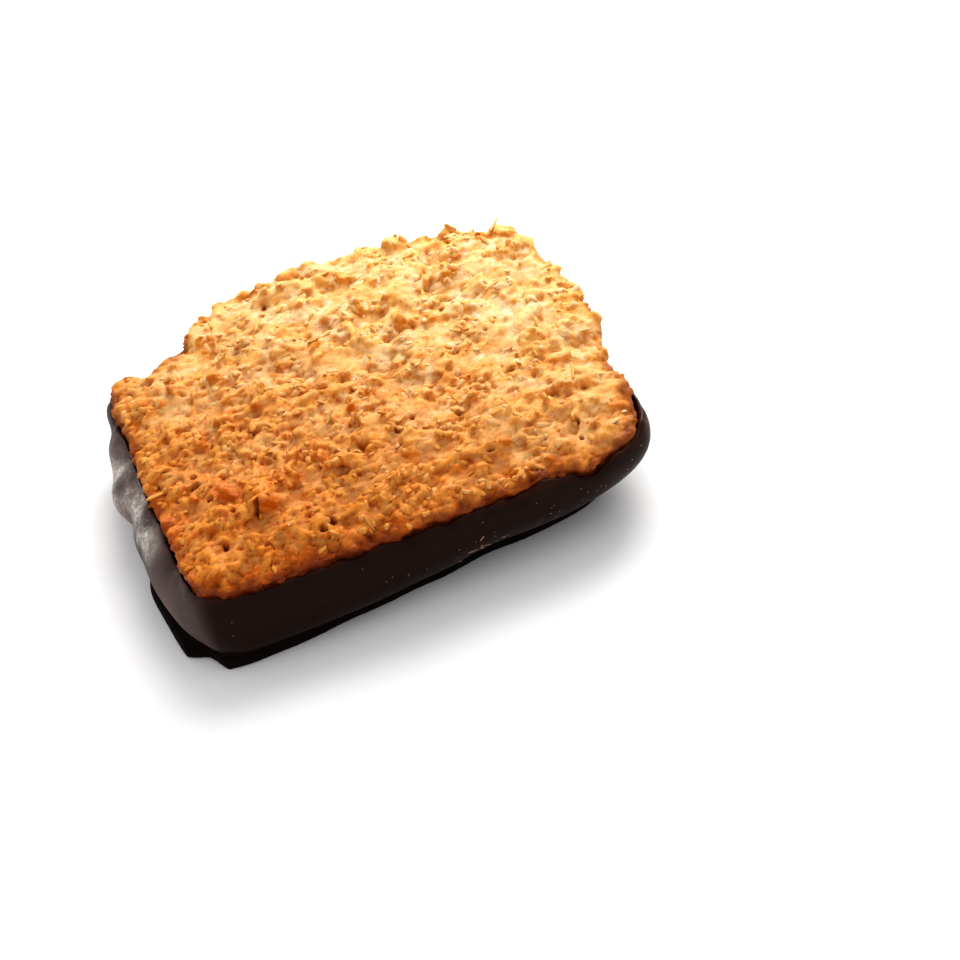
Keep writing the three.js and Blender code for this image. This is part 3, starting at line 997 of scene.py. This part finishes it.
def thread_nest(places, normals):
    """Weight of the spot low on the front wall where a few shreds cling."""
    away = (places[:, [0, 2]] / MM - (6.2, 4.2)) / (1.5, 1.2)
    return np.exp(-(away ** 2).sum(1)) * (normals[:, 1] < -0.3) * (places[:, 1] < 0)


# ---------------------------------------------------------------- operators


def shared_group():
    return bpy.data.node_groups.get("fine_grain") or fine_grain_group()


class BISCUIT_OT_coat(bpy.types.Operator):
    """Makes the chocolate coat: walls, lumps, lip and foot"""

    bl_idname = "biscuit.coat"
    bl_label = "Chocolate coat"

    def execute(self, context):
        sizes = context.scene.biscuit_coat
        material = chocolate_material(sizes, shared_group())
        new_piece("coat", coat_mesh(sizes), material, "dark_chocolate", "chocolate_coat")
        return {"FINISHED"}


class BISCUIT_OT_crumb(bpy.types.Operator):
    """Makes the baked crumb with its clods, flakes, grains and pits"""

    bl_idname = "biscuit.crumb"
    bl_label = "Baked crumb"

    def execute(self, context):
        sizes = context.scene.biscuit_crumb
        material = crumb_material(sizes, shared_group())
        mesh = crumb_mesh(sizes, piece_tree("coat"))
        new_piece("crumb", mesh, material, "coconut_crumb", "coconut_biscuit")
        return {"FINISHED"}


class BISCUIT_OT_loose(bpy.types.Operator):
    """Lays crisp shreds and sugar on the crumb and sticks specks to the coat"""

    bl_idname = "biscuit.loose"
    bl_label = "Shreds, sugar and specks"

    def execute(self, context):
        counts, colours = context.scene.biscuit_shreds, context.scene.biscuit_crumb
        shred = shred_material(colours, shared_group())
        crumb, coat_tree = piece_surface("crumb"), piece_tree("coat")
        loose_piece("coconut_flakes", blob_shapes(2, 0.35, 14, 0.9),
                    Kind(counts.flakes, (0.9, 2.0), (0.5, 0.9), (0.30, 0.46), 0.20, -0.12,
                         0.15, aligned=0.8),
                    crumb, clumped(0.15, coat_tree, 1.9 * MM), 20, shred, "coconut_crumb", 0.6)
        loose_piece("baked_granules", blob_shapes(2, 0.4, 14, 0.9),
                    Kind(counts.granules, (0.60, 1.2), (0.5, 0.85), (0.36, 0.52), 0.25, -0.10,
                         0.1, aligned=0.6),
                    crumb, clumped(0.12, coat_tree, 1.5 * MM), 25, shred, "coconut_crumb", 0.6)
        loose_piece("coconut_shreds", strip_shapes(),
                    Kind(counts.shreds, (1.2, 2.8), (0.24, 0.45), (0.12, 0.2), 0.14, 0.02, 0.2),
                    crumb, clumped(0.5, coat_tree, 1.9 * MM), 21, shred, "coconut_crumb")
        loose_piece("sugar_grains", blob_shapes(1, 0.1),
                    Kind(counts.sugar, (0.12, 0.24), (0.12, 0.2), (0.12, 0.2), 1.0, 0.03),
                    crumb, open_face, 22, sugar_material(counts), "coconut_crumb")
        coat, speck = piece_surface("coat"), speck_material(counts)
        loose_piece("coat_specks", blob_shapes(1, 0.4),
                    Kind(counts.specks, (0.10, 0.24), (0.08, 0.16), (0.08, 0.12), 0.3, 0.0),
                    coat, front_wall, 23, speck, "coconut_crumb")
        loose_piece("coat_threads", strip_shapes(),
                    Kind(counts.threads, (0.5, 1.3), (0.07, 0.12), (0.06, 0.09), 0.1, 0.02, 0.3),
                    coat, thread_nest, 24, speck, "coconut_crumb")
        return {"FINISHED"}


def area_light(name, bearing, height, distance, width, power, tint):
    """A square light that faces the middle of the biscuit from a bearing and a height angle."""
    flat = math.cos(height)
    way = Vector((math.cos(bearing) * flat, math.sin(bearing) * flat, math.sin(height)))
    light = bpy.data.lights.new(name, "AREA")
    light.size, light.energy, light.color = width, power, tint
    lamp = bpy.data.objects.new(name, light)
    bpy.context.scene.collection.objects.link(lamp)
    lamp.location = way * distance
    lamp.rotation_mode = "QUATERNION"
    lamp.rotation_quaternion = way.to_track_quat("Z", "Y")
    return lamp


class BISCUIT_OT_stage(bpy.types.Operator):
    """Makes the pale floor, the soft light and the camera"""

    bl_idname = "biscuit.stage"
    bl_label = "Stage"

    def execute(self, context):
        scene, stage = context.scene, context.scene.biscuit_stage
        bm = bmesh.new()
        bmesh.ops.create_circle(bm, cap_ends=True, segments=96, radius=stage.floor_size / 2)
        mesh = bpy.data.meshes.new("floor")
        bm.to_mesh(mesh)
        bm.free()
        mesh.materials.append(floor_material(stage.floor_colour))
        floor = bpy.data.objects.new("floor", mesh)
        scene.collection.objects.link(floor)
        world = bpy.data.worlds.new("studio")
        world.use_nodes = True
        background = world.node_tree.nodes["Background"]
        background.inputs["Color"].default_value = (1.0, 1.0, 1.0, 1.0)
        background.inputs["Strength"].default_value = stage.sky
        scene.world = world
        area_light("key", stage.key_bearing, stage.key_height, stage.key_distance,
                   stage.key_width, stage.key_power, stage.key_tint)
        scene.view_settings.view_transform = "Standard"
        scene.view_settings.look = "High Contrast"
        camera = bpy.data.cameras.new("camera")
        camera.lens, camera.sensor_width = stage.lens, 36.0
        camera.clip_start, camera.clip_end = 0.01, 20.0
        holder = bpy.data.objects.new("camera", camera)
        scene.collection.objects.link(holder)
        flat = math.cos(stage.elevation)
        back = Vector((math.sin(stage.azimuth) * flat, -math.cos(stage.azimuth) * flat,
                       math.sin(stage.elevation)))
        holder.location = Vector(stage.aim) + back * stage.distance
        holder.rotation_mode = "QUATERNION"
        holder.rotation_quaternion = ((-back).to_track_quat("-Z", "Y")
                                      @ Quaternion((0, 0, 1), stage.roll))
        scene.camera = holder
        return {"FINISHED"}


class BISCUIT_PT_panel(bpy.types.Panel):
    """Lists the biscuit's pieces in the sidebar"""

    bl_idname = "BISCUIT_PT_panel"
    bl_label = "Coconut biscuit"
    bl_space_type = "VIEW_3D"
    bl_region_type = "UI"
    bl_category = "Biscuit"

    def draw(self, context):
        for operator in OPERATORS:
            self.layout.operator(operator.bl_idname)
        for holder, settings in SETTINGS.items():
            box = self.layout.box()
            for key in settings.__annotations__:
                box.prop(getattr(context.scene, holder), key)


OPERATORS = (BISCUIT_OT_coat, BISCUIT_OT_crumb, BISCUIT_OT_loose, BISCUIT_OT_stage)


def register():
    for settings in SETTINGS.values():
        bpy.utils.register_class(settings)
    for holder, settings in SETTINGS.items():
        setattr(bpy.types.Scene, holder, PointerProperty(type=settings))
    for operator in OPERATORS:
        bpy.utils.register_class(operator)
    bpy.utils.register_class(BISCUIT_PT_panel)


def unregister():
    bpy.utils.unregister_class(BISCUIT_PT_panel)
    for operator in reversed(OPERATORS):
        bpy.utils.unregister_class(operator)
    for holder in SETTINGS:
        delattr(bpy.types.Scene, holder)
    for settings in SETTINGS.values():
        bpy.utils.unregister_class(settings)


def main():
    register()
    bpy.ops.biscuit.coat()
    bpy.ops.biscuit.crumb()
    bpy.ops.biscuit.loose()
    bpy.ops.biscuit.stage()


if __name__ == "__main__":
    main()
